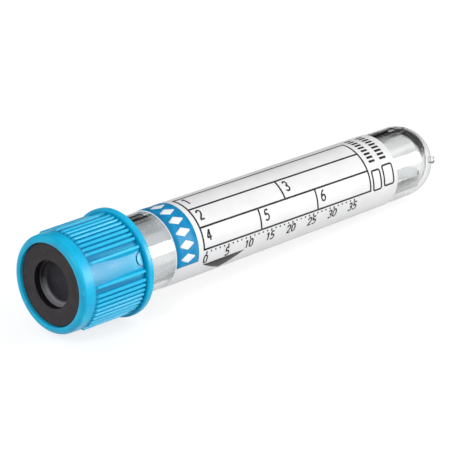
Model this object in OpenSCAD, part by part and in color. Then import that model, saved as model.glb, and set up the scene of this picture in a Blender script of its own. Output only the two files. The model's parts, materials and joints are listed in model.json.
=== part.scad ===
// Capped blood collection tube, lying on its side as it comes to rest.
// Every piece is drawn about the tube's own axis, X, from the front of the cap (x = 0)
// towards the closed end, and lay() then tips the whole tube onto the surface.

/* [Tube] */
// Outside diameter of the tube at its neck
tube_od = 12.9; // [11:0.1:15]
// How much narrower the tube is where the round end begins
tube_taper = 0.56; // [0.1:0.02:1]
// Length of the tube from its mouth to the round end
tube_len = 80.2; // [60:0.2:100]
// Wall of the clear outer tube
outer_wall = 0.9; // [0.6:0.05:1.2]
// Wall of the liner inside it
liner_wall = 0.7; // [0.4:0.05:0.8]
// Thickness of the liner's flange on the mouth
flange_t = 0.7; // [0.5:0.1:1]
// Diameter of the moulding gate mark on the round end
gate_d = 1.3; // [0.8:0.1:1.6]
// Height of the gate mark
gate_h = 0.5; // [0.3:0.05:0.8]

/* [Cap] */
// Room for the thread between the tube and the skirt of the cap
thread_room = 0.55; // [0.45:0.05:0.8]
// Wall of the skirt at the smooth collar
cap_wall = 1.15; // [1:0.05:1.5]
// How far the rear lip stands out past the collar
lip_step = 0.78; // [0.6:0.02:1.2]
// Width of the rim round the ring
ring_rim = 1.35; // [1:0.05:1.6]
// Length of the cap
cap_len = 14.3; // [13:0.1:18]
// Distance from the front of the cap to the mouth of the tube
mouth_x = 6.5; // [6.3:0.1:7]
// Width of the rear lip along the tube
lip_w = 1.15; // [0.8:0.05:1.6]
// Number of smooth grip panels round the cap
panels = 4; // [2:1:4]
// Angle that one smooth panel takes up, between the ribs beside it
panel_angle = 27.6; // [20:0.2:30]
// Angle from one rib to the next
rib_pitch = 6; // [6:1:9]
// Width of a rib at its root
rib_w = 0.62; // [0.4:0.02:0.7]
// Height of a rib above the valley
rib_h = 0.42; // [0.25:0.01:0.6]

/* [Stopper and ring] */
// Hole through the ring, where the needle goes in
ring_hole = 7.8; // [5:0.1:8.6]
// Thickness of the ring
ring_t = 1.1; // [1:0.1:1.3]
// How far the ring sits behind the rim
ring_recess = 0.5; // [0.3:0.05:0.7]
// Length of the stopper's plug inside the tube
plug_len = 5; // [3.5:0.1:7]
// Depth of the needle well in the stopper
well_depth = 0.9; // [0.7:0.1:1.1]

/* [Label and contents] */
// Distance from the front of the cap to the label
label_x = 21.4; // [18:0.1:25]
// Length of the label along the tube
label_len = 52.6; // [40:0.2:56]
// Angle that the label wraps round the tube
label_wrap = 325; // [270:1:340]
// Thickness of the label
label_t = 0.08; // [0.06:0.01:0.15]
// Depth of the additive pool where it is deepest
pool_depth = 2.1; // [1.8:0.1:3]
// Length of the additive pool, back from the centre of the round end
pool_len = 42; // [20:1:44]

/* [Hidden] */
$fn = 96;

// clearances
run_gap = 0.03;   // radial, between a turning or sliding pair
face_gap = 0.03;  // between faces that turn or part
seat_gap = 0.04;  // between the nested tubes
eps = 0.01;

// tube
neck_r = tube_od / 2;
end_r = neck_r - tube_taper / 2;
end_x = mouth_x + tube_len - end_r;           // centre of the round end
liner_r = neck_r - outer_wall - seat_gap;     // liner outside, at the neck
liner_end_r = end_r - outer_wall - seat_gap;  // liner outside, at the round end
bore_r = liner_r - liner_wall;
bore_end_r = liner_end_r - liner_wall;
flange_r = neck_r - 0.2;
flange_x = mouth_x - flange_t;
plug_zone = 7.5;                              // straight bore behind the mouth
gate_dir = [0.672, -0.737, 0.075];            // where the gate mark sits on the round end

// cap
skirt_r = neck_r + thread_room;
collar_r = skirt_r + cap_wall;
rim_r = collar_r - 0.05;
rim_round = 0.8;
ring_r = collar_r - ring_rim;
pocket_r = ring_r + 0.1;
seat_x = ring_recess + ring_t;                // the ring rests on this shoulder
head_r = pocket_r - 0.5;
head_x = seat_x + face_gap;
web_x = head_x + 1.25 + face_gap;
web_t = 0.8;
neck_bore_r = head_r - 1.8;
body_x = web_x + web_t + face_gap;
body_r = skirt_r - 0.4;
rib_x = 2.5;
groove_w = 0.3;
lip_x = cap_len - lip_w;
rib_end_x = lip_x - groove_w;
lip_r = collar_r + lip_step;
lip_round = 0.25;
valley_r = collar_r - 0.1;
wall_r = valley_r - 0.25;                     // the wall under the grip
root_r = wall_r - 0.2;                        // how deep the grip roots in the wall
panel_r = collar_r + 0.05;                    // panels widen a little towards the lip
panel_first = 68.4;                           // from the top, towards -Y
rib_outline = [                               // half width and height above the valley
    [-rib_w / 2, 0], [0.07 - rib_w / 2, rib_h - 0.12], [0.17 - rib_w / 2, rib_h],
    [rib_w / 2 - 0.17, rib_h], [rib_w / 2 - 0.07, rib_h - 0.12], [rib_w / 2, 0]
];
arch_r = 1.2;                                 // half-moon mark on each panel
arch_line = 0.24;
arch_deep = 0.2;
edge_rib = panel_angle / 2;                   // a rib borders each side of a panel
rib_from = ceil(edge_rib / rib_pitch + 1) * rib_pitch;
rib_places = [
    edge_rib,
    for (a = [rib_from : rib_pitch : 360 / panels - rib_from]) a,
    360 / panels - edge_rib
];

// stopper
well_r = ring_hole / 2 - 0.2;
well_round = 0.7;
plug_r = bore_r - run_gap;
plug_hollow_r = plug_r - 2.08;
plug_end_x = mouth_x - flange_t + plug_len;

// label
label_from = -120;                            // from the top, towards -Y
label_end_x = label_x + label_len;

// resting attitude: the lip and the round end both touch the surface
lip_c = [cap_len - lip_round, lip_r - lip_round];
rest_reach = norm([end_x - lip_c[0], lip_c[1]]);
rest_tilt = acos((end_r - lip_round) / rest_reach) - atan2(end_x - lip_c[0], lip_c[1]);
rest_z = end_x * sin(rest_tilt) + end_r;
low_x = rim_round * cos(rest_tilt) - (rim_r - rim_round) * sin(rest_tilt) - rim_round;
high_x = end_x * cos(rest_tilt) + end_r;
pool_z = end_r - bore_end_r + pool_depth;

// Radius of the tube's outside at a distance x from the front of the cap
function tube_r(x) = x < label_x ? neck_r
    : neck_r + (end_r - neck_r) * (x - label_x) / (end_x - label_x);

// Tips the finished tube onto the surface, with the origin under its middle
module lay() {
    translate([-(low_x + high_x) / 2, 0, rest_z])
        rotate([0, rest_tilt, 0])
            children();
}

// Turns a profile of [radius, distance] about the tube's axis;
// angles are counted from the top of the tube, towards -Y
module turn(from = 0, sweep = 360) {
    rotate([0, 90, 0])
        rotate([0, 0, 180 + from])
            rotate_extrude(angle = sweep)
                children();
}

// A rectangle in the profile plane, between two radii and two distances
module band(r0, r1, x0, x1) {
    translate([r0, x0])
        square([r1 - r0, x1 - x0]);
}

// The same with rounded corners
module soft_band(r0, r1, x0, x1, c) {
    band(r0 + c, r1 - c, x0, x1);
    band(r0, r1, x0 + c, x1 - c);
    for (r = [r0 + c, r1 - c], x = [x0 + c, x1 - c])
        translate([r, x])
            circle(r = c);
}

// Closed round-ended profile: straight neck, slight draft, half-round end
module tube_profile(r_neck, r_end, x_open, straight_to) {
    polygon([[0, x_open], [r_neck, x_open], [r_neck, straight_to], [r_end, end_x], [0, end_x]]);
    intersection() {
        translate([0, end_x])
            circle(r = r_end);
        band(0, r_end, end_x - eps, end_x + r_end);
    }
}

// A point of the grip's outline, at a distance along the rib's width and a height on it
function grip_point(angle, along, height) =
    let (r = valley_r + height, a = angle + along / valley_r * 180 / PI)
        [r * cos(a), r * sin(a)];

// All the ribs as one straight extrusion, from the collar to the groove before the lip
module grip() {
    rotate([0, 90, 0])
        rotate([0, 0, 180 + panel_first])
            translate([0, 0, rib_x])
                linear_extrude(rib_end_x - rib_x)
                    difference() {
                        polygon([
                            for (p = [0 : panels - 1], a = rib_places, q = rib_outline)
                                grip_point(p * 360 / panels + a, q[0], q[1])
                        ]);
                        circle(r = root_r);
                    }
}

// One smooth panel: it leaves the collar flush and rises to the rib tops
module panel(angle) {
    turn(angle - panel_angle / 2, panel_angle)
        polygon([
            [root_r, rib_x], [collar_r, rib_x],
            [panel_r, rib_end_x], [root_r, rib_end_x]
        ]);
}

// Half-moon line engraved in a panel, with its open side at the groove before the lip
module arch(angle) {
    rotate([angle, 0, 0])
        translate([rib_end_x, 0, panel_r - arch_deep])
            intersection() {
                difference() {
                    cylinder(r = arch_r + arch_line / 2, h = 1, $fn = 48);
                    translate([0, 0, -1])
                        cylinder(r = arch_r - arch_line / 2, h = 3, $fn = 48);
                }
                translate([-2 * arch_r, -2 * arch_r, -1])
                    cube([2 * arch_r + groove_w / 2, 4 * arch_r, 3]);
            }
}

module cap_wall_profile() {
    difference() {
        union() {
            intersection() {
                translate([rim_r - rim_round, rim_round])
                    circle(r = rim_round);
                band(pocket_r, rim_r, 0, rim_round);
            }
            polygon([
                [skirt_r, rim_round], [rim_r, rim_round], [collar_r, rib_x],
                [wall_r, rib_x], [wall_r, lip_x + lip_round], [skirt_r, lip_x + lip_round]
            ]);
            soft_band(skirt_r, lip_r, lip_x, cap_len, lip_round);
            band(head_r, skirt_r + eps, seat_x, web_x);
            band(neck_bore_r, skirt_r + eps, web_x, web_x + web_t);
        }
        band(0, pocket_r, -eps, seat_x);
    }
}

module cap_shell() {
    color([0.05, 0.62, 0.86])
        lay()
            difference() {
                union() {
                    turn()
                        cap_wall_profile();
                    grip();
                    for (p = [0 : panels - 1])
                        panel(panel_first + p * 360 / panels);
                }
                turn()
                    polygon([
                        [collar_r + eps, rib_x - 0.2], [collar_r + 1, rib_x - 0.2],
                        [collar_r + 1, rib_x + 1], [collar_r + eps, rib_x + 0.05]
                    ]);
                for (p = [0 : panels - 1])
                    arch(panel_first + p * 360 / panels);
            }
}

module cap_ring() {
    color([0.16, 0.15, 0.16])
        lay()
            turn()
                soft_band(ring_hole / 2, ring_r, ring_recess, seat_x, 0.12);
}

module stopper() {
    color([0.24, 0.24, 0.27])
        lay()
            turn()
                difference() {
                    union() {
                        soft_band(0.5, head_r - 0.1, head_x, web_x - face_gap, 0.15);
                        band(0, neck_bore_r - run_gap, head_x, body_x + eps);
                        band(0, body_r, body_x, flange_x - face_gap);
                        band(0, plug_r, body_x, plug_end_x - 0.5);
                        polygon([
                            [0, plug_end_x - 0.5 - eps], [plug_r, plug_end_x - 0.5 - eps],
                            [plug_r, plug_end_x - 0.5], [plug_r - 0.35, plug_end_x], [0, plug_end_x]
                        ]);
                    }
                    soft_band(-1, well_r, head_x - 1, head_x + well_depth, well_round);
                    soft_band(-1, plug_hollow_r, flange_x + 0.8, plug_end_x + 1, 0.4);
                }
}

module gate() {
    top = end_r + gate_h;
    cylinder(d = gate_d, h = top - gate_h / 2, $fn = 32);
    translate([0, 0, top - gate_h / 2 - eps])
        cylinder(d1 = gate_d, d2 = gate_d * 0.6, h = gate_h / 2 + eps, $fn = 32);
}

module outer_tube() {
    color([0.86, 0.9, 0.92, 0.35])
        lay()
            difference() {
                union() {
                    turn()
                        tube_profile(neck_r, end_r, mouth_x, label_x);
                    translate([end_x, 0, 0])
                        rotate([0, 0, atan2(gate_dir[1], gate_dir[0])])
                            rotate([0, acos(gate_dir[2]), 0])
                                gate();
                }
                turn()
                    tube_profile(neck_r - outer_wall, end_r - outer_wall, mouth_x - eps, label_x);
            }
}

module liner_tube() {
    color([0.9, 0.93, 0.95, 0.3])
        lay()
            turn()
                difference() {
                    union() {
                        tube_profile(liner_r, liner_end_r, flange_x, label_x);
                        soft_band(bore_r - 1, flange_r, flange_x, mouth_x, 0.15);
                    }
                    tube_profile(bore_r, bore_end_r, flange_x - eps, mouth_x + plug_zone);
                }
}

module additive() {
    color([0.85, 0.92, 0.96, 0.4])
        intersection() {
            lay()
                turn()
                    intersection() {
                        tube_profile(bore_r - seat_gap, bore_end_r - seat_gap, plug_end_x,
                                     mouth_x + plug_zone);
                        band(0, tube_od, end_x - pool_len, end_x + end_r);
                    }
            translate([-tube_len, -tube_od, -1])
                cube([2 * tube_len, 2 * tube_od, pool_z + 1]);
        }
}

module label() {
    color([0.95, 0.95, 0.96])
        lay()
            turn(label_from, label_wrap)
                polygon([
                    [tube_r(label_x), label_x], [tube_r(label_x) + label_t, label_x],
                    [tube_r(label_end_x) + label_t, label_end_x], [tube_r(label_end_x), label_end_x]
                ]);
}

cap_shell();
cap_ring();
stopper();
outer_tube();
liner_tube();
additive();
label();
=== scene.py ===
# %% [markdown]
# # A small blood collection tube, lying on its side
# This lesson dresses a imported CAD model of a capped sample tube. The CAD frame gives every hard
# piece at its real size: the blue cap, the dark ring in its top, the rubber stopper, two clear
# tubes one inside the other, a little liquid additive and the label. Blender adds what CAD can't:
# the finish of each plastic, the print on the label, and the thread that the cap turns on.

# %% Load the frame
import json
import math

import bmesh
import bpy
from mathutils import Matrix, Vector


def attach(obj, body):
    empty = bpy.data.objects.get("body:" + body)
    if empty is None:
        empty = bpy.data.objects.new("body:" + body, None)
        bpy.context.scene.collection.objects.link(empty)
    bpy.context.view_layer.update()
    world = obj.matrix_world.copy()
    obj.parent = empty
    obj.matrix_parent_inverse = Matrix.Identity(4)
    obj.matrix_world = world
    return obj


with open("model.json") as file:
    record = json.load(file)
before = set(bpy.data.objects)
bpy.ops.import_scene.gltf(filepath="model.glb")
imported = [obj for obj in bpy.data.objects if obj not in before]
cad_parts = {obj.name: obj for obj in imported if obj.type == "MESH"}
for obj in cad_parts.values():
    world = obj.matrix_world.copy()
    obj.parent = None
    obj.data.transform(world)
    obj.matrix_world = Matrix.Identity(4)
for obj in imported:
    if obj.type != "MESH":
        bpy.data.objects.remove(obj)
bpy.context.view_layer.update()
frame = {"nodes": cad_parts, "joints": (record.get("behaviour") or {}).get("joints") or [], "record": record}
nodes = frame["nodes"]
print("CAD nodes:", sorted(nodes))

# %% [markdown]
# ## Finding places along the tube
# The tube doesn't lie level: its wide cap lifts the front, so its own axis dips towards the round
# end. Rather than tilt every new piece by hand, we read the axis and the mouth of the tube from the
# record's screw joint, and write one helper that turns "so far behind the front of the cap, so far
# round from the top, so far out" into a point of the frame.

# %% The tube's own coordinates
MM = 0.001
MOUTH_X = 6.5
turn_joint = next(j for j in frame["joints"] if j["name"] == "cap_turn")
mouth = Vector(turn_joint["pos_m"])
along = -Vector(turn_joint["axis"]).normalized()
side = Vector((0, -1, 0))
upward = side.cross(along).normalized()
if upward.z < 0:
    upward = -upward
front = mouth - along * MOUTH_X * MM


def spot(x, angle, radius):
    """A point x mm behind the cap's front, angle degrees from the top, radius mm off the axis."""
    a = math.radians(angle)
    out = upward * math.cos(a) + side * math.sin(a)
    return front + along * (x * MM) + out * (radius * MM)


print("front of the cap:", [round(c, 5) for c in front], "axis:", [round(c, 4) for c in along])


# %% [markdown]
# ## The camera
# A long lens from half a metre away keeps the perspective gentle, as a catalogue does with small
# goods. The camera looks down on the tube over the cap, and leans a little, so that the tube rises
# to the right.

# %% Camera
CAMERA_PLACE = Vector((-0.32995, -0.33279, 0.20108))
CAMERA_AIM = Vector((-0.0044451, 0.0, 0.0074893))
CAMERA_LEAN = -1.816


def into_scene(name, data):
    """A new object with this data, in the scene."""
    thing = bpy.data.objects.new(name, data)
    bpy.context.scene.collection.objects.link(thing)
    return thing


camera_data = bpy.data.cameras.new("catalogue_camera")
camera_data.sensor_width = 36
camera_data.lens = 246.2
camera_data.clip_start = 0.02
camera_data.clip_end = 20
camera = into_scene("catalogue_camera", camera_data)
level_look = (CAMERA_AIM - CAMERA_PLACE).to_track_quat("-Z", "Y").to_matrix().to_4x4()
lean = Matrix.Rotation(math.radians(CAMERA_LEAN), 4, "Z")
camera.matrix_world = Matrix.Translation(CAMERA_PLACE) @ level_look @ lean
bpy.context.scene.camera = camera
print("camera distance (m):", round((CAMERA_AIM - CAMERA_PLACE).length, 4))

# %% [markdown]
# ## Building with nodes
# The sky, the floor and every material are trees of shader nodes. Wiring them by hand takes many
# lines, so a few small helpers come first: one puts a node into a tree, one joins two sockets or
# sets a plain value, and the rest are the sums and blends that come back all through the lesson.


# %% Putting and joining nodes
def feed(tree, socket, value):
    """Joins another socket to this one, or sets a plain value on it."""
    if isinstance(value, bpy.types.NodeSocket):
        tree.links.new(value, socket)
    else:
        socket.default_value = value


def put(tree, kind, settings=None, **values):
    """A new node with its settings and the values of its named inputs."""
    node = tree.nodes.new(kind)
    for key, value in (settings or {}).items():
        setattr(node, key, value)
    for key, value in values.items():
        feed(tree, node.inputs[key.replace("_", " ")], value)
    return node


def new_material(name, **values):
    """A material with a Principled shader whose plain values are set by name."""
    material = bpy.data.materials.new(name)
    material.use_nodes = True
    tree = material.node_tree
    shader = tree.nodes["Principled BSDF"]
    for key, value in values.items():
        shader.inputs[key.replace("_", " ")].default_value = value
    return material, tree, shader


print("node helpers:", [f.__name__ for f in (feed, put, new_material)])


# %% Sums and blends
MIX_UNDER, MIX_OVER, MIX_RESULT = 6, 7, 2
BLACK, WHITE = (0, 0, 0, 1), (1, 1, 1, 1)


def grey(level):
    """A neutral colour of this level."""
    return (level, level, level, 1)


def sums(tree, operation, a, b):
    """The result of one sum on two sockets or numbers."""
    node = put(tree, "ShaderNodeMath", {"operation": operation})
    feed(tree, node.inputs[0], a)
    feed(tree, node.inputs[1], b)
    return node.outputs[0]


def vector_sum(tree, operation, *values):
    """A node that does one sum on vectors."""
    node = put(tree, "ShaderNodeVectorMath", {"operation": operation})
    for socket, value in zip(node.inputs, values):
        feed(tree, socket, value)
    return node


def step(tree, value, start, end):
    """A mask that goes from 0 at start to 1 at end."""
    return put(tree, "ShaderNodeMapRange", Value=value, From_Min=start, From_Max=end).outputs["Result"]


def between(tree, mask, low, high):
    """A number that is low where the mask is 0, and high where it is 1."""
    return put(tree, "ShaderNodeMapRange", Value=mask, To_Min=low, To_Max=high).outputs["Result"]


def blended(tree, mask, under, over):
    """The colour under where the mask is 0, and over where it is 1."""
    mix = put(tree, "ShaderNodeMix", {"data_type": "RGBA"}, Factor=mask)
    feed(tree, mix.inputs[MIX_UNDER], under)
    feed(tree, mix.inputs[MIX_OVER], over)
    return mix.outputs[MIX_RESULT]


print("sum and blend helpers:", [f.__name__ for f in (sums, vector_sum, step, between, blended)])

# %% [markdown]
# ## Floor and sky
# Clear plastic shows whatever surrounds it, so the surroundings matter as much as the material. The
# floor and the sky are white to the eye, to reflections and to what is seen through the plastic,
# but they give off less light than that. If they were as bright as they look, they would wash out
# the shading of the cap. Blender's Light Path node tells looking from lighting. The floor that shows
# is a darker paper with a glow of its own, so it comes out white and still keeps the shadow.

# %% Sky
SKY_LIGHT = 0.55


def seen_directly(tree):
    """1 for rays that look at a thing, also in a reflection or through clear plastic, else 0."""
    path = put(tree, "ShaderNodeLightPath").outputs
    by_way_of_plastic = sums(tree, "MAXIMUM", path["Is Glossy Ray"], path["Is Transmission Ray"])
    return sums(tree, "MAXIMUM", path["Is Camera Ray"], by_way_of_plastic)


world = bpy.data.worlds.new("white_studio")
bpy.context.scene.world = world
world.use_nodes = True
sky = world.node_tree
background = sky.nodes["Background"]
background.inputs["Color"].default_value = WHITE
feed(sky, background.inputs["Strength"], between(sky, seen_directly(sky), SKY_LIGHT, 1.0))
print("the sky looks white and lights at", SKY_LIGHT)

# %% Floor
FLOOR_HALF = 1.5
FLOOR_DROP = 0.00002
PAPER_THAT_LIGHTS, PAPER_THAT_SHOWS, PAPER_GLOW = grey(0.58), grey(0.34), 0.76
floor_mesh = bpy.data.meshes.new("studio_floor")
corners = [(FLOOR_HALF * x, FLOOR_HALF * y, 0) for x, y in ((-1, -1), (1, -1), (1, 1), (-1, 1))]
floor_mesh.from_pydata(corners, [], [(0, 1, 2, 3)])
floor = into_scene("studio_floor", floor_mesh)
floor.location.z = -FLOOR_DROP
paper, tree, shader = new_material(
    "studio_paper",
    Roughness=0.9,
    Specular_IOR_Level=0.0,
    Emission_Color=WHITE,
)
seen = seen_directly(tree)
feed(tree, shader.inputs["Base Color"], blended(tree, seen, PAPER_THAT_LIGHTS, PAPER_THAT_SHOWS))
feed(tree, shader.inputs["Emission Strength"], between(tree, seen, 0.0, PAPER_GLOW))
floor_mesh.materials.append(paper)
print("floor side (m):", 2 * FLOOR_HALF)

# %% [markdown]
# ## Lamps and dark cards
# The main lamp stands low on the right, a second one stands high on the left behind the camera, and
# a weak one fills the far side. The dark cards are what a studio stands round glassware: without
# them the edges of the clear tubes would vanish against white. Only reflections and clear plastic
# see them.

# %% Lamps
LAMPS_FACE = Vector((0, 0, 0.008))


def softbox(name, place, size, watts):
    """A rectangular lamp that faces the middle of the tube."""
    lamp = bpy.data.lights.new(name, "AREA")
    lamp.shape = "RECTANGLE"
    lamp.size, lamp.size_y = size
    lamp.energy = watts
    box = into_scene(name, lamp)
    box.location = place
    box.rotation_euler = (LAMPS_FACE - Vector(place)).to_track_quat("-Z", "Y").to_euler()


softbox("right_box", (0.56, -0.62, 0.20), (0.32, 0.36), 5.0)
softbox("left_box", (-0.75, -0.30, 0.70), (0.3, 0.3), 2.8)
softbox("far_fill", (-0.45, 0.80, 0.50), (0.6, 0.4), 0.6)


# %% Dark cards
def dark_card(name, corner, across, up, shade):
    """A card with this corner and these two sides. The camera doesn't see it, and it throws no shadow."""
    corner, across, up = Vector(corner), Vector(across), Vector(up)
    mesh = bpy.data.meshes.new(name)
    mesh.from_pydata([corner, corner + across, corner + across + up, corner + up], [], [(0, 1, 2, 3)])
    paint, _, _ = new_material(name + "_paint", Base_Color=grey(shade), Roughness=1.0)
    mesh.materials.append(paint)
    card = into_scene(name, mesh)
    card.visible_camera = False
    card.visible_diffuse = False
    card.visible_shadow = False


dark_card("back_card", (-0.5, 0.6, 0.0), (1.4, 0, 0), (0, 0, 0.7), 0.02)
dark_card("top_card", (-0.5, -0.25, 0.7), (1.4, 0, 0), (0, 0.85, 0), 0.05)
dark_card("end_card", (0.5, -0.35, 0.01), (0, 0.85, 0), (0, 0, 0.34), 0.05)

# %% [markdown]
# ## Shared effects
# Moulded plastic is never one flat colour. Its pigment is a little uneven, its gloss changes where
# it cooled against the mould, and close up it has a fine grain. These effects come back on the cap,
# the ring, the stopper and the label, so each is a node group with named values. Every group works
# in millimetres of the object's own space, so its scale is real and moves with its piece.

# %% Helpers for shared effects
FLOAT, COLOUR = "NodeSocketFloat", "NodeSocketColor"


def new_group(name, inputs, outputs):
    """A shader group with these sockets, (name, kind, value) in and (name, kind) out, and its ends."""
    tree = bpy.data.node_groups.new(name, "ShaderNodeTree")
    for label, kind, value in inputs:
        tree.interface.new_socket(label, in_out="INPUT", socket_type=kind).default_value = value
    for label, kind in outputs:
        tree.interface.new_socket(label, in_out="OUTPUT", socket_type=kind)
    return tree, put(tree, "NodeGroupInput").outputs, put(tree, "NodeGroupOutput").inputs


def placed(tree, group, **values):
    """The outputs of one use of a shader group with its own values."""
    return put(tree, "ShaderNodeGroup", {"node_tree": group}, **values).outputs


def millimetres(tree):
    """The object's own coordinates in millimetres."""
    place = put(tree, "ShaderNodeTexCoord").outputs["Object"]
    scaled = put(tree, "ShaderNodeVectorMath", {"operation": "SCALE"}, Vector=place, Scale=1 / MM)
    return scaled.outputs["Vector"]


def noise(tree, place, scale, detail=3.0):
    """Soft noise from 0 to 1."""
    return put(tree, "ShaderNodeTexNoise", Vector=place, Scale=scale, Detail=detail).outputs["Fac"]


print("effects are measured in steps of", MM, "m")

# %% Moulded grain
grain_group, ins, outs = new_group(
    "moulded_grain",
    [
        ("Deep Colour", COLOUR, BLACK),
        ("Pale Colour", COLOUR, WHITE),
        ("Cloud Size", FLOAT, 5.0),
        ("Grain Size", FLOAT, 0.1),
        ("Smooth", FLOAT, 0.3),
        ("Rough", FLOAT, 0.45),
    ],
    [("Color", COLOUR), ("Roughness", FLOAT), ("Height", FLOAT)],
)
place = millimetres(grain_group)
clouds = noise(grain_group, place, sums(grain_group, "DIVIDE", 1.0, ins["Cloud Size"]))
grains = noise(grain_group, place, sums(grain_group, "DIVIDE", 1.0, ins["Grain Size"]), 4.0)
mostly_clouds = sums(grain_group, "MULTIPLY", clouds, 0.7)
some_grains = sums(grain_group, "MULTIPLY", grains, 0.3)
spread = step(grain_group, sums(grain_group, "ADD", mostly_clouds, some_grains), 0.35, 0.65)
mottled = blended(grain_group, spread, ins["Deep Colour"], ins["Pale Colour"])
feed(grain_group, outs["Color"], mottled)
feed(grain_group, outs["Roughness"], between(grain_group, spread, ins["Smooth"], ins["Rough"]))
feed(grain_group, outs["Height"], grains)
print(grain_group.name, "gives", [socket.name for socket in outs if socket.name])

# %% [markdown]
# Edges are painted a little paler, partly as wear where fingers and other tubes rub and partly as
# a painted highlight, and the corners at the foot of each rib are painted dark, as painted shade.
# Blender's Pointiness gives both: above a half on edges, below it in hollows.

# %% Edge wear, painted highlight and painted shade
edge_group, ins, outs = new_group(
    "edge_wear_highlight_and_shade",
    [
        ("Color", COLOUR, WHITE),
        ("Edge Colour", COLOUR, WHITE),
        ("Hollow Colour", COLOUR, BLACK),
        ("Wear", FLOAT, 0.5),
    ],
    [("Color", COLOUR)],
)
point = put(edge_group, "ShaderNodeNewGeometry").outputs["Pointiness"]
patchy = sums(edge_group, "ADD", noise(edge_group, millimetres(edge_group), 1.2), 0.4)
# paler edges are partly wear and partly painted highlight; darker hollows are painted shade
on_edge = sums(edge_group, "MULTIPLY", step(edge_group, point, 0.52, 0.62), ins["Wear"])
hollow_shade = sums(edge_group, "MULTIPLY", step(edge_group, point, 0.48, 0.38), ins["Wear"])
worn_and_highlit = sums(edge_group, "MULTIPLY", on_edge, patchy)
paler = blended(edge_group, worn_and_highlit, ins["Color"], ins["Edge Colour"])
feed(edge_group, outs["Color"], blended(edge_group, hollow_shade, paler, ins["Hollow Colour"]))
print(edge_group.name, "gives", [socket.name for socket in outs if socket.name])

# %% [markdown]
# Drawn and blown plastic keeps faint streaks along its length. The same streaks serve for the clear
# tubes, for ripples on the additive and, finer, for the fibres of the label stock. The tube lies
# almost along X, so squeezing the coordinates along X stretches the noise into streaks.

# %% Streaks along the tube
streak_group, ins, outs = new_group(
    "long_streaks",
    [("Streak Width", FLOAT, 0.3), ("Streak Length", FLOAT, 8.0)],
    [("Height", FLOAT)],
)
parts = put(streak_group, "ShaderNodeSeparateXYZ", Vector=millimetres(streak_group)).outputs
squeezed = put(
    streak_group,
    "ShaderNodeCombineXYZ",
    X=sums(streak_group, "DIVIDE", parts["X"], ins["Streak Length"]),
    Y=sums(streak_group, "DIVIDE", parts["Y"], ins["Streak Width"]),
    Z=sums(streak_group, "DIVIDE", parts["Z"], ins["Streak Width"]),
)
feed(streak_group, outs["Height"], noise(streak_group, squeezed.outputs["Vector"], 1.0))
print("shader groups:", [g.name for g in bpy.data.node_groups])


# %% Helpers for finishes
def relief(tree, shader, height, depth_mm, strength=1.0):
    """Feeds a height from 0 to 1 into the shader's normal as bumps of so many millimetres."""
    bump = put(tree, "ShaderNodeBump", Height=height, Strength=strength, Distance=depth_mm * MM)
    feed(tree, shader.inputs["Normal"], bump.outputs["Normal"])


def grained(tree, shader, depth_mm, **values):
    """Gives the shader the grain's roughness and relief, and returns its mottled colour."""
    grain = placed(tree, grain_group, **values)
    feed(tree, shader.inputs["Roughness"], grain["Roughness"])
    relief(tree, shader, grain["Height"], depth_mm)
    return grain["Color"]


def dress(node, material):
    """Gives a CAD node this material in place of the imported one."""
    for slot in nodes[node].material_slots:
        slot.material = material
    print(node, "wears", material.name)


# %% [markdown]
# ## The cap
# The cap is injection-moulded polyethylene in a sky blue, with a satin finish. It is glossy enough
# to catch the lamps along each rib, and soft enough that its pigment looks slightly cloudy. The
# valleys between the ribs are found by their distance from the axis and given a deeper blue, as
# painted shade.


# %% Where a point lies on the tube
def from_front(tree):
    """This point of the surface as a vector from the middle of the cap's front, in metres."""
    place = put(tree, "ShaderNodeTexCoord").outputs["Object"]
    return vector_sum(tree, "SUBTRACT", place, tuple(front)).outputs["Vector"]


def behind_front(tree):
    """How far behind the cap's front this point lies, in millimetres."""
    dot = vector_sum(tree, "DOT_PRODUCT", from_front(tree), tuple(along))
    return sums(tree, "MULTIPLY", dot.outputs["Value"], 1 / MM)


def off_axis(tree):
    """How far off the tube's axis this point lies, in millimetres."""
    cross = vector_sum(tree, "CROSS_PRODUCT", from_front(tree), tuple(along))
    length = vector_sum(tree, "LENGTH", cross.outputs["Vector"])
    return sums(tree, "MULTIPLY", length.outputs["Value"], 1 / MM)


print("surfaces are measured from", [round(c, 5) for c in front])

# %% Cap plastic
VALLEY_R, CREST_R = 8.05, 8.47
GRIP_FROM_X, GRIP_TO_X = 2.5, 12.85
cap_blue, tree, shader = new_material("sky_blue_polyethylene", IOR=1.5, Specular_IOR_Level=0.34)
mottled = grained(
    tree,
    shader,
    0.012,
    Deep_Colour=(0.0, 0.42, 0.73, 1),
    Pale_Colour=(0.0, 0.55, 0.86, 1),
    Cloud_Size=3.0,
    Grain_Size=0.12,
    Smooth=0.26,
    Rough=0.42,
)
radius, distance = off_axis(tree), behind_front(tree)
past_collar = step(tree, distance, GRIP_FROM_X - 0.3, GRIP_FROM_X + 0.1)
before_lip = step(tree, distance, GRIP_TO_X + 0.1, GRIP_TO_X)
on_grip = sums(tree, "MULTIPLY", past_collar, before_lip)
# painted shade: the valleys between the ribs are given a deeper blue
valley_shade = sums(tree, "MULTIPLY", on_grip, step(tree, radius, VALLEY_R + 0.25, VALLEY_R + 0.02))
on_crest = sums(tree, "MULTIPLY", on_grip, step(tree, radius, CREST_R - 0.14, CREST_R - 0.02))
shaded = blended(tree, valley_shade, mottled, (0.0, 0.22, 0.43, 1))
shaded = blended(tree, on_crest, shaded, (0.0, 0.46, 0.79, 1))
# rib edges turn paler, partly as wear and partly as a painted highlight; hollows get painted shade
edge_worn_and_shaded = placed(
    tree,
    edge_group,
    Color=shaded,
    Edge_Colour=(0.05, 0.66, 0.92, 1),
    Hollow_Colour=(0.0, 0.12, 0.34, 1),
    Wear=0.6,
)
feed(tree, shader.inputs["Base Color"], edge_worn_and_shaded["Color"])
dress("cap_shell", cap_blue)
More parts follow.
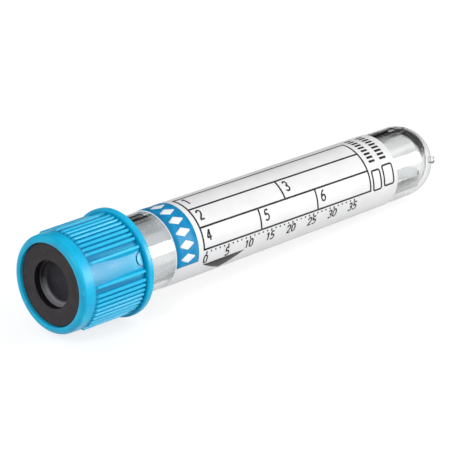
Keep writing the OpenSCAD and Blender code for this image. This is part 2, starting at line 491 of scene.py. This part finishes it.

# %% [markdown]
# ## The ring and the stopper
# The ring is a matt black moulding pressed into the top of the cap. Little light finds its way to
# the wall of its hole, so that wall is painted darker still, as painted shade. The stopper behind
# it is butyl rubber, dark grey with a little more sheen. The low side of the rim of its needle
# well, which faces the light, is painted pale, as a painted highlight. Both marks are masks of the
# distance from the axis, which keeps them sharp at any size.

# %% Ring plastic
HOLE_R = 3.9
ring_black, tree, shader = new_material("matt_black_moulding", IOR=1.48, Specular_IOR_Level=0.06)
mottled = grained(
    tree,
    shader,
    0.015,
    Deep_Colour=(0.048, 0.043, 0.046, 1),
    Pale_Colour=(0.072, 0.065, 0.069, 1),
    Cloud_Size=1.6,
    Grain_Size=0.09,
    Smooth=0.5,
    Rough=0.68,
)
# painted shade: the wall of the hole is given a near black
in_the_hole = step(tree, off_axis(tree), HOLE_R + 0.10, HOLE_R + 0.03)
shaded = blended(tree, in_the_hole, mottled, (0.012, 0.010, 0.012, 1))
feed(tree, shader.inputs["Base Color"], shaded)
dress("cap_ring", ring_black)

# %% Stopper rubber
RIM_FROM_R, RIM_TO_R = 3.2, 3.55
HIGHLIGHT_BELOW = 2.6
stopper_rubber, tree, shader = new_material("grey_butyl_rubber", IOR=1.5, Specular_IOR_Level=0.14)
mottled = grained(
    tree,
    shader,
    0.02,
    Deep_Colour=(0.018, 0.017, 0.022, 1),
    Pale_Colour=(0.040, 0.038, 0.047, 1),
    Cloud_Size=2.2,
    Grain_Size=0.14,
    Smooth=0.42,
    Rough=0.6,
)
# edges turn paler, partly as wear and partly as a painted highlight; hollows get painted shade
edge_worn_and_shaded = placed(
    tree,
    edge_group,
    Color=mottled,
    Edge_Colour=(0.22, 0.22, 0.24, 1),
    Hollow_Colour=(0.012, 0.012, 0.014, 1),
    Wear=0.7,
)
# painted highlight: the low side of the needle well's rim is given a pale grey
on_rim = step(tree, off_axis(tree), RIM_FROM_R, RIM_TO_R)
height = put(tree, "ShaderNodeSeparateXYZ", Vector=from_front(tree)).outputs["Z"]
rim_highlight = sums(tree, "MULTIPLY", on_rim, step(tree, height, 0.0, -HIGHLIGHT_BELOW * MM))
rim_highlit = blended(tree, rim_highlight, edge_worn_and_shaded["Color"], (0.26, 0.265, 0.28, 1))
feed(tree, shader.inputs["Base Color"], rim_highlit)
dress("stopper", stopper_rubber)

# %% [markdown]
# ## The clear tubes and the additive
# Both tubes are clear, but not alike: the outer one is glassy, and the liner is a softer, slightly
# milky plastic. Glass keeps its transmission as one plain number, and the streaks only bend its
# surface. Where a wall turns away from the eye, the light has a long way through it and comes out
# darker: a Layer Weight node finds those places. The additive is a clear, watery liquid that lies
# along the lowest side.

# %% Helpers for clear plastic
WALL_TINT, TINT_PER_MM = (0.25, 0.30, 0.32, 1), 0.035
CLEAR_PIECES = ("outer_tube", "liner_tube", "additive")
for name in CLEAR_PIECES:
    nodes[name].visible_shadow = False


def tinted(tree):
    """Plastic that takes a little light away along its thickness."""
    volume = put(tree, "ShaderNodeVolumeAbsorption", Color=WALL_TINT, Density=TINT_PER_MM / MM)
    feed(tree, tree.nodes["Material Output"].inputs["Volume"], volume.outputs["Volume"])


def darker_at_edge(tree, shader, start, end, plain, edge):
    """The plain colour where a wall faces the eye, and the edge colour where it turns away."""
    turned_away = put(tree, "ShaderNodeLayerWeight", Blend=0.5).outputs["Facing"]
    feed(tree, shader.inputs["Base Color"], blended(tree, step(tree, turned_away, start, end), plain, edge))


print("light passes through", CLEAR_PIECES)

# %% Outer tube
tube_clear, tree, shader = new_material(
    "clear_outer_plastic",
    Roughness=0.03,
    IOR=1.5,
    Transmission_Weight=1.0,
)
darker_at_edge(tree, shader, 0.40, 0.90, WHITE, (0.16, 0.165, 0.165, 1))
streaks = placed(tree, streak_group, Streak_Width=0.8, Streak_Length=14.0)
relief(tree, shader, streaks["Height"], 0.02, 0.6)
tinted(tree)
dress("outer_tube", tube_clear)

# %% Liner
liner_clear, tree, shader = new_material(
    "milky_liner_plastic",
    Roughness=0.06,
    IOR=1.49,
    Transmission_Weight=1.0,
)
darker_at_edge(tree, shader, 0.55, 0.95, (0.99, 0.995, 0.995, 1), (0.34, 0.35, 0.35, 1))
streaks = placed(tree, streak_group, Streak_Width=0.5, Streak_Length=10.0)
relief(tree, shader, streaks["Height"], 0.03, 0.7)
tinted(tree)
dress("liner_tube", liner_clear)

# %% Additive
additive_clear, tree, shader = new_material(
    "watery_additive",
    Base_Color=(0.93, 0.96, 0.97, 1),
    Roughness=0.0,
    IOR=1.34,
    Transmission_Weight=1.0,
)
ripples = placed(tree, streak_group, Streak_Width=2.5, Streak_Length=6.0)
relief(tree, shader, ripples["Height"], 0.05, 0.3)
dress("additive", additive_clear)

# %% [markdown]
# ## The label
# The label is coated white stock, wound almost all the way round and stuck down. It is smooth, but
# its coating has a faint tooth, and fibres show as fine lines along the tube. Its inner face, which
# shows through the clear ends, is given a glow of its own: painted light standing in for the light
# that comes through the paper, a little brighter where the face looks up. The inner face is where
# the surface normal points back to the axis.

# %% Label stock
label_white, tree, shader = new_material(
    "coated_label_stock",
    IOR=1.45,
    Specular_IOR_Level=0.35,
    Emission_Strength=1.0,
)
grain = placed(
    tree,
    grain_group,
    Deep_Colour=(0.79, 0.79, 0.80, 1),
    Pale_Colour=(0.85, 0.85, 0.855, 1),
    Cloud_Size=4.0,
    Grain_Size=0.10,
    Smooth=0.38,
    Rough=0.55,
)
fibres = placed(tree, streak_group, Streak_Width=0.08, Streak_Length=1.2)
tooth = sums(tree, "ADD", grain["Height"], sums(tree, "MULTIPLY", fibres["Height"], 0.5))
feed(tree, shader.inputs["Base Color"], grain["Color"])
feed(tree, shader.inputs["Roughness"], grain["Roughness"])
relief(tree, shader, tooth, 0.006)
# painted light: the inner face glows, a little brighter where it faces up
normal = put(tree, "ShaderNodeTexCoord").outputs["Normal"]
outward = vector_sum(tree, "DOT_PRODUCT", normal, from_front(tree)).outputs["Value"]
inner_face = step(tree, outward, 0.0, -MM)
over_floor = step(tree, put(tree, "ShaderNodeSeparateXYZ", Vector=normal).outputs["Z"], -0.6, 0.9)
painted_glow = blended(tree, over_floor, (0.42, 0.45, 0.47, 1), (0.46, 0.48, 0.49, 1))
feed(tree, shader.inputs["Emission Color"], blended(tree, inner_face, BLACK, painted_glow))
dress("label", label_white)

# %% [markdown]
# ## Printing on the label
# The print could be a pattern in the label's material, but its lines are only a third of a
# millimetre wide and have to stay sharp from any distance. So each ink is a mesh: a film a
# hundredth of a millimetre thick that follows the label's curve. A shape is first laid out flat, in
# millimetres along the tube and degrees round it, and then wrapped. The form was printed a few
# degrees askew, as most such labels are.

# %% The label's surface
LABEL_FROM_X, LABEL_TO_X = 21.4, 74.0
NECK_R, END_R, END_X, STOCK_T = 6.45, 6.17, 80.53, 0.08
SKEW = 0.085


def label_radius(x):
    """The radius of the label's outer face, which narrows with the tube."""
    share = (x - LABEL_FROM_X) / (END_X - LABEL_FROM_X)
    return NECK_R + (END_R - NECK_R) * share + STOCK_T


def askew(x, angle):
    """Where a point of the straight form lands on the label."""
    return angle + SKEW * (x - LABEL_FROM_X)


print("label radii (mm):", [round(label_radius(x), 3) for x in (LABEL_FROM_X, LABEL_TO_X)])


# %% Closed pieces on the tube
def closed_piece(name, points, faces, material):
    """A closed mesh that rides on the tube, with its faces turned outwards."""
    mesh = bpy.data.meshes.new(name)
    mesh.from_pydata([tuple(p) for p in points], [], faces)
    mesh.materials.append(material)
    build = bmesh.new()
    build.from_mesh(mesh)
    bmesh.ops.recalc_face_normals(build, faces=build.faces)
    build.to_mesh(mesh)
    build.free()
    piece = into_scene(name, mesh)
    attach(piece, "tube")
    print(name, "has", len(faces), "faces")
    return piece


def wrapped(name, points, faces, material, under, over):
    """A closed film over these flat points, (x mm, angle), with its walls made on open edges."""
    top = [spot(x, a, label_radius(x) + over) for x, a in points]
    base = [spot(x, a, label_radius(x) + under) for x, a in points]
    n = len(points)
    solid = [tuple(f) for f in faces] + [tuple(i + n for i in reversed(f)) for f in faces]
    edges = dict.fromkeys((i, j) for f in faces for i, j in zip(f, f[1:] + f[:1]))
    solid += [(j, i, i + n, j + n) for i, j in edges if (j, i) not in edges]
    film = closed_piece(name, top + base, solid, material)
    for polygon in film.data.polygons:
        polygon.use_smooth = polygon.index < len(faces)


# %% [markdown]
# Every printed shape is one of four: a line along the tube, a line round it, a filled outline, or
# the stroke of a round pen. All of them come down to rows of points with quads between, close
# enough together to follow the curve of the label.


# %% Ink shapes
class Ink:
    """Gathers flat shapes of one ink, and makes them one mesh."""

    LINE_DEGREES, LINE_MM = 2.5, 2
    FILL_DEGREES = 2

    def __init__(self, name, material):
        self.name, self.material = name, material
        self.points, self.faces = [], []

    def strip(self, rows):
        """Quads between rows of points, each row as long as the next."""
        first = len(self.points)
        wide = len(rows[0])
        for row in rows:
            self.points += row
        for r in range(len(rows) - 1):
            for c in range(wide - 1):
                a = first + r * wide + c
                self.faces.append([a, a + 1, a + 1 + wide, a + wide])

    def line_along(self, x0, x1, angle, width):
        """A line along the tube, width mm wide."""
        steps = max(2, round((x1 - x0) / self.LINE_MM))
        half = math.degrees(width / 2 / label_radius(x0))
        places = [x0 + (x1 - x0) * i / steps for i in range(steps + 1)]
        self.strip([[(x, askew(x, angle) - half), (x, askew(x, angle) + half)] for x in places])

    def line_round(self, x, a0, a1, width):
        """A line round the tube."""
        steps = max(2, round(abs(a1 - a0) / self.LINE_DEGREES))
        angles = [askew(x, a0 + (a1 - a0) * i / steps) for i in range(steps + 1)]
        self.strip([[(x - width / 2, a), (x + width / 2, a)] for a in angles])

    def filled(self, outline):
        """A filled convex outline of (x, angle) points, cut into rows that follow the curve."""
        low, high = min(a for _, a in outline), max(a for _, a in outline)
        steps = max(4, round((high - low) / self.FILL_DEGREES))
        rows = []
        for i in range(steps + 1):
            a = low + (high - low) * min(max(i / steps, 1e-4), 1 - 1e-4)
            cuts = []
            for (x0, a0), (x1, a1) in zip(outline, outline[1:] + outline[:1]):
                if (a0 - a) * (a1 - a) <= 0 and a0 != a1:
                    cuts.append(x0 + (x1 - x0) * (a - a0) / (a1 - a0))
            if len(cuts) >= 2:
                left, right = min(cuts), max(cuts)
                rows.append([(left + (right - left) * k / 4, a) for k in range(5)])
        self.strip(rows)

    def stroke(self, path, width, closed=False):
        """A pen stroke of this width along (x, angle) points, on the skewed form."""
        dense = []
        for (x0, a0), (x1, a1) in zip(path, path[1:] + path[:1] if closed else path[1:]):
            steps = max(1, round(abs(a1 - a0) / self.LINE_DEGREES))
            dense += [(x0 + (x1 - x0) * k / steps, a0 + (a1 - a0) * k / steps) for k in range(steps)]
        if not closed:
            dense.append(path[-1])
        flat = [(x, math.radians(a) * label_radius(x)) for x, a in dense]
        n = len(flat)
        rows = []
        for i, (x, s) in enumerate(flat):
            before = flat[(i - 1) % n] if closed or i else flat[i]
            after = flat[(i + 1) % n] if closed or i < n - 1 else flat[i]
            d = Vector((after[0] - before[0], after[1] - before[1])).normalized()
            row = []
            for sign in (-1, 1):
                px = x - sign * d.y * width / 2
                ps = s + sign * d.x * width / 2
                row.append((px, askew(px, math.degrees(ps / label_radius(px)))))
            rows.append(row)
        if closed:
            rows.append(rows[0])
        self.strip(rows)

    def make(self, under=0.010, over=0.020):
        """Wraps what was gathered round the label, between these heights in mm over its face."""
        wrapped(self.name, self.points, self.faces, self.material, under, over)


print("curved lines have a row of points every", Ink.LINE_DEGREES, "degrees")

# %% [markdown]
# Ink lies on the stock as a thin glossy film, a little uneven where the coating took it up. The
# three inks differ only in colour.


# %% Inks
def ink_material(name, deep, pale):
    """A printed ink between two close colours."""
    material, tree, shader = new_material(name, IOR=1.5, Specular_IOR_Level=0.25)
    mottled = grained(
        tree,
        shader,
        0.004,
        Deep_Colour=deep,
        Pale_Colour=pale,
        Cloud_Size=1.5,
        Grain_Size=0.12,
        Smooth=0.35,
        Rough=0.5,
    )
    feed(tree, shader.inputs["Base Color"], mottled)
    return material


ink_black = ink_material("black_ink", (0.008, 0.008, 0.009, 1), (0.020, 0.020, 0.022, 1))
ink_blue = ink_material("blue_ink", (0.0, 0.21, 0.46, 1), (0.0, 0.30, 0.59, 1))
ink_white = ink_material("white_ink", (0.84, 0.87, 0.90, 1), (0.92, 0.94, 0.96, 1))
print("inks:", [ink.name for ink in (ink_black, ink_blue, ink_white)])

# %% [markdown]
# The blue band tells the kind of additive at a glance. A row of plain lozenges stands on it in
# white. Their film starts just above the blue one, so that the two never meet.

# %% Colour band
BAND_ROWS, BAND_COLUMNS = 80, 4
BAND_FROM_X, BAND_LONG = 21.5, 4.9
BAND_START, BAND_ROUND = -96, 200
across = [BAND_LONG * k / BAND_COLUMNS for k in range(BAND_COLUMNS + 1)]
band = Ink("label_band", ink_blue)
band_rows = []
for i in range(BAND_ROWS + 1):
    angle = BAND_START + BAND_ROUND * i / BAND_ROWS
    band_rows.append([(BAND_FROM_X + dx, angle + SKEW * dx) for dx in across])
band.strip(band_rows)
band.make()

# %% Lozenges on the band
LOZENGE_FROM_X, LOZENGE_MID_X, LOZENGE_TO_X = 22.2, 23.95, 25.7
LOZENGE_START, LOZENGE_EVERY, LOZENGE_HALF = -82, 19.4, 7
marks = Ink("label_band_marks", ink_white)
for k in range(10):
    middle = LOZENGE_START + LOZENGE_EVERY * k
    first = (LOZENGE_MID_X, middle - LOZENGE_HALF)
    last = (LOZENGE_MID_X, middle + LOZENGE_HALF)
    marks.filled([(LOZENGE_FROM_X, middle), first, (LOZENGE_TO_X, middle), last])
marks.make(under=0.022, over=0.030)

# %% [markdown]
# The form has three rows. The first is one long field, the second two fields and the third three.

# %% Form lines
LINE = 0.32
LEFT, RIGHT = 27.6, 67.2
ROWS = [-6.5, 25.0, 56.5, 88.5]
FORM_R = 6.5
# each upright line: its place along the tube, its first row, and the row where it stops
UPRIGHTS = [(LEFT, 0, 3), (RIGHT, 0, 3), (47.3, 1, 2), (40.8, 2, 3), (54.2, 2, 3)]
form = Ink("label_form", ink_black)
for angle in ROWS:
    form.line_along(LEFT - LINE / 2, RIGHT + LINE / 2, angle, LINE)
half_line = math.degrees(LINE / 2 / FORM_R)
for x, first_row, stop_row in UPRIGHTS:
    for row in range(first_row, stop_row):
        form.line_round(x, ROWS[row] + half_line, ROWS[row + 1] - half_line, LINE)
form.make()

# %% [markdown]
# Each field has a plain number in its corner. Numerals are drawn with a round pen, a few strokes
# each, so they need no font. Each stroke is given as points in a box one unit wide and two high.

# %% Numerals
GLYPHS = {
    "0": [
        [(0.5, 0.0), (0.88, 0.3), (1.0, 1.0), (0.88, 1.7), (0.5, 2.0)]
        + [(0.12, 1.7), (0.0, 1.0), (0.12, 0.3), (0.5, 0.0)],
    ],
    "1": [[(0.25, 0.45), (0.62, 0.12)], [(0.65, 0.0), (0.65, 2.0)]],
    "2": [
        [(0.02, 0.5), (0.15, 0.15), (0.5, 0.0), (0.85, 0.15), (0.98, 0.5), (0.85, 0.9), (0.08, 1.9)],
        [(0.0, 1.93), (1.0, 1.93)],
    ],
    "3": [
        [(0.05, 0.3), (0.35, 0.02), (0.75, 0.08), (0.92, 0.5), (0.75, 0.85), (0.4, 0.95)],
        [(0.4, 0.98), (0.8, 1.08), (1.0, 1.45), (0.8, 1.88), (0.4, 2.0), (0.02, 1.75)],
    ],
    "4": [[(0.72, 0.0), (0.72, 2.0)], [(0.64, 0.1), (0.05, 1.32)], [(0.0, 1.4), (1.05, 1.4)]],
    "5": [
        [(0.2, 0.07), (0.95, 0.07)],
        [(0.17, 0.1), (0.1, 0.95)],
        [(0.1, 0.95), (0.5, 0.78), (0.85, 0.95), (1.0, 1.4), (0.8, 1.85), (0.4, 2.0), (0.02, 1.8)],
    ],
    "6": [
        [(0.8, 0.0), (0.4, 0.25), (0.08, 0.8), (0.0, 1.4), (0.15, 1.85), (0.5, 2.0)]
        + [(0.85, 1.85), (1.0, 1.4), (0.85, 1.0), (0.5, 0.85), (0.14, 1.05)],
    ],
}


def numeral(ink, digit, x, angle, height, pen):
    """Draws a numeral whose upper left corner is at x and angle, height mm high."""
    unit = height / 2
    rows = math.degrees(unit / label_radius(x))
    for path in GLYPHS[digit]:
        ink.stroke([(x + px * unit, angle + py * rows) for px, py in path], pen)


print("numerals drawn by hand:", "".join(sorted(GLYPHS)))

# %% Corner numbers
NUMBER_HEIGHT, NUMBER_PEN = 1.8, 0.3
CORNERS = [
    ("1", 28.6, -2),
    ("2", 28.6, 30),
    ("3", 48.4, 30),
    ("4", 28.6, 61.5),
    ("5", 41.9, 61.5),
    ("6", 55.3, 61.5),
]
numbers = Ink("label_numbers", ink_black)
for digit, x, angle in CORNERS:
    numeral(numbers, digit, x, angle, NUMBER_HEIGHT, NUMBER_PEN)
numbers.make()

# %% [markdown]
# Under the form runs a scale, with a plain number at every fifth tick, and under that the wedge
# that shows where the fill should come to.

# %% Scale
SCALE_X, SCALE_TOP, SCALE_PEN = 28.2, 92.0, 0.26
LONG_TICK, SHORT_TICK = 96.5, 94.6
DIGIT_TOP, DIGIT_PITCH, DIGIT_HEIGHT, DIGIT_PEN = 97.2, 1.1, 1.55, 0.28
scale = Ink("label_scale", ink_black)
for i in range(36):
    scale.line_round(SCALE_X + i, SCALE_TOP, LONG_TICK if i % 5 == 0 else SHORT_TICK, SCALE_PEN)
for k in range(8):
    value = str(5 * k)
    start = SCALE_X + 5 * k - DIGIT_PITCH / 2 * len(value)
    for column, digit in enumerate(value):
        numeral(scale, digit, start + DIGIT_PITCH * column, DIGIT_TOP, DIGIT_HEIGHT, DIGIT_PEN)
scale.make()

# %% Wedge
WEDGE_TOP, WEDGE_TIP = 114.0, 138.0
wedge = Ink("label_wedge", ink_black)
wedge.filled([(27.8, WEDGE_TOP), (37.3, WEDGE_TOP), (32.8, WEDGE_TIP)])
wedge.make()

# %% [markdown]
# Behind the form are two columns of ticks, and two small rounded boxes, left blank.

# %% Ticks
TICK_COLUMNS = [(68.4, 69.8), (71.0, 72.5)]
TICKS_FROM, TICKS_EVERY, TICK_PEN = -12, 7.0, 0.42
ticks = Ink("label_ticks", ink_black)
for k in range(9):
    for x0, x1 in TICK_COLUMNS:
        ticks.line_along(x0, x1, TICKS_FROM + TICKS_EVERY * k, TICK_PEN)
ticks.make()

# %% Rounded boxes
BOX_CORNER = 0.3


def rounded_box(ink, x0, x1, a0, a1):
    """The outline of a rounded box, as one closed stroke."""
    turn = math.degrees(BOX_CORNER / label_radius(x0))
    left, right = x0 + BOX_CORNER, x1 - BOX_CORNER
    middles = [(right, a0 + turn), (right, a1 - turn), (left, a1 - turn), (left, a0 + turn)]
    path = []
    for quarter, (x, angle) in enumerate(middles):
        for k in range(5):
            t = math.radians(90 * (quarter - 1) + 90 * k / 4)
            path.append((x + BOX_CORNER * math.cos(t), angle + turn * math.sin(t)))
    ink.stroke(path, LINE, closed=True)


boxes = Ink("label_boxes", ink_black)
rounded_box(boxes, 68.0, 69.9, 59, 90)
rounded_box(boxes, 70.7, 73.0, 56, 88)
boxes.make()

# %% [markdown]
# ## The thread under the cap
# The cap turns off on a steep thread. Once it is off, two clear beads show, wound round the neck
# of the tube. Each is a small trapezium swept along a helix, with tapered ends. The record couples
# the cap's turn to its lift, and that gives the pitch.

# %% Neck thread
THREAD_FROM_X, THREAD_TURNS = 7.3, 0.62
THREAD_BASE_R, THREAD_CREST_R = 6.455, 6.8
THREAD_FOOT, THREAD_TOP = 0.45, 0.18
STEPS_A_TURN = 60
TAPER_SHARE, THINNEST = 1 / 6, 0.04
coupling = next(c for c in frame["record"]["behaviour"]["couplings"] if c["joint"] == "cap_turn")
pitch = 2 * math.pi / coupling["ratio"] / MM


def neck_bead(name, start_angle):
    """A bead that winds round the neck at the screw's own pitch."""
    points, faces = [], []
    steps = round(THREAD_TURNS * STEPS_A_TURN)
    for i in range(steps + 1):
        share = i / steps
        swell = max(min(1.0, share / TAPER_SHARE, (1 - share) / TAPER_SHARE), THINNEST)
        crest = THREAD_BASE_R + (THREAD_CREST_R - THREAD_BASE_R) * swell
        x = THREAD_FROM_X + pitch * THREAD_TURNS * share
        angle = start_angle + 360 * THREAD_TURNS * share
        foot_first, foot_last = (x - THREAD_FOOT, THREAD_BASE_R), (x + THREAD_FOOT, THREAD_BASE_R)
        top_first, top_last = (x - THREAD_TOP, crest), (x + THREAD_TOP, crest)
        points += [spot(px, angle, r) for px, r in (foot_first, top_first, top_last, foot_last)]
    for i in range(steps):
        for k in range(4):
            a, b = i * 4 + k, i * 4 + (k + 1) % 4
            faces.append((a, b, b + 4, a + 4))
    faces += [(3, 2, 1, 0), tuple(steps * 4 + k for k in range(4))]
    closed_piece(name, points, faces, tube_clear)


for k in range(2):
    neck_bead(f"neck_thread_{k + 1}", 180 * k)
print("thread pitch (mm):", round(pitch, 2))

# %% [markdown]
# ## View settings and the end
# The Standard view shows colours as they are written.

# %% Finish
bpy.context.scene.view_settings.view_transform = "Standard"
bpy.context.view_layer.update()
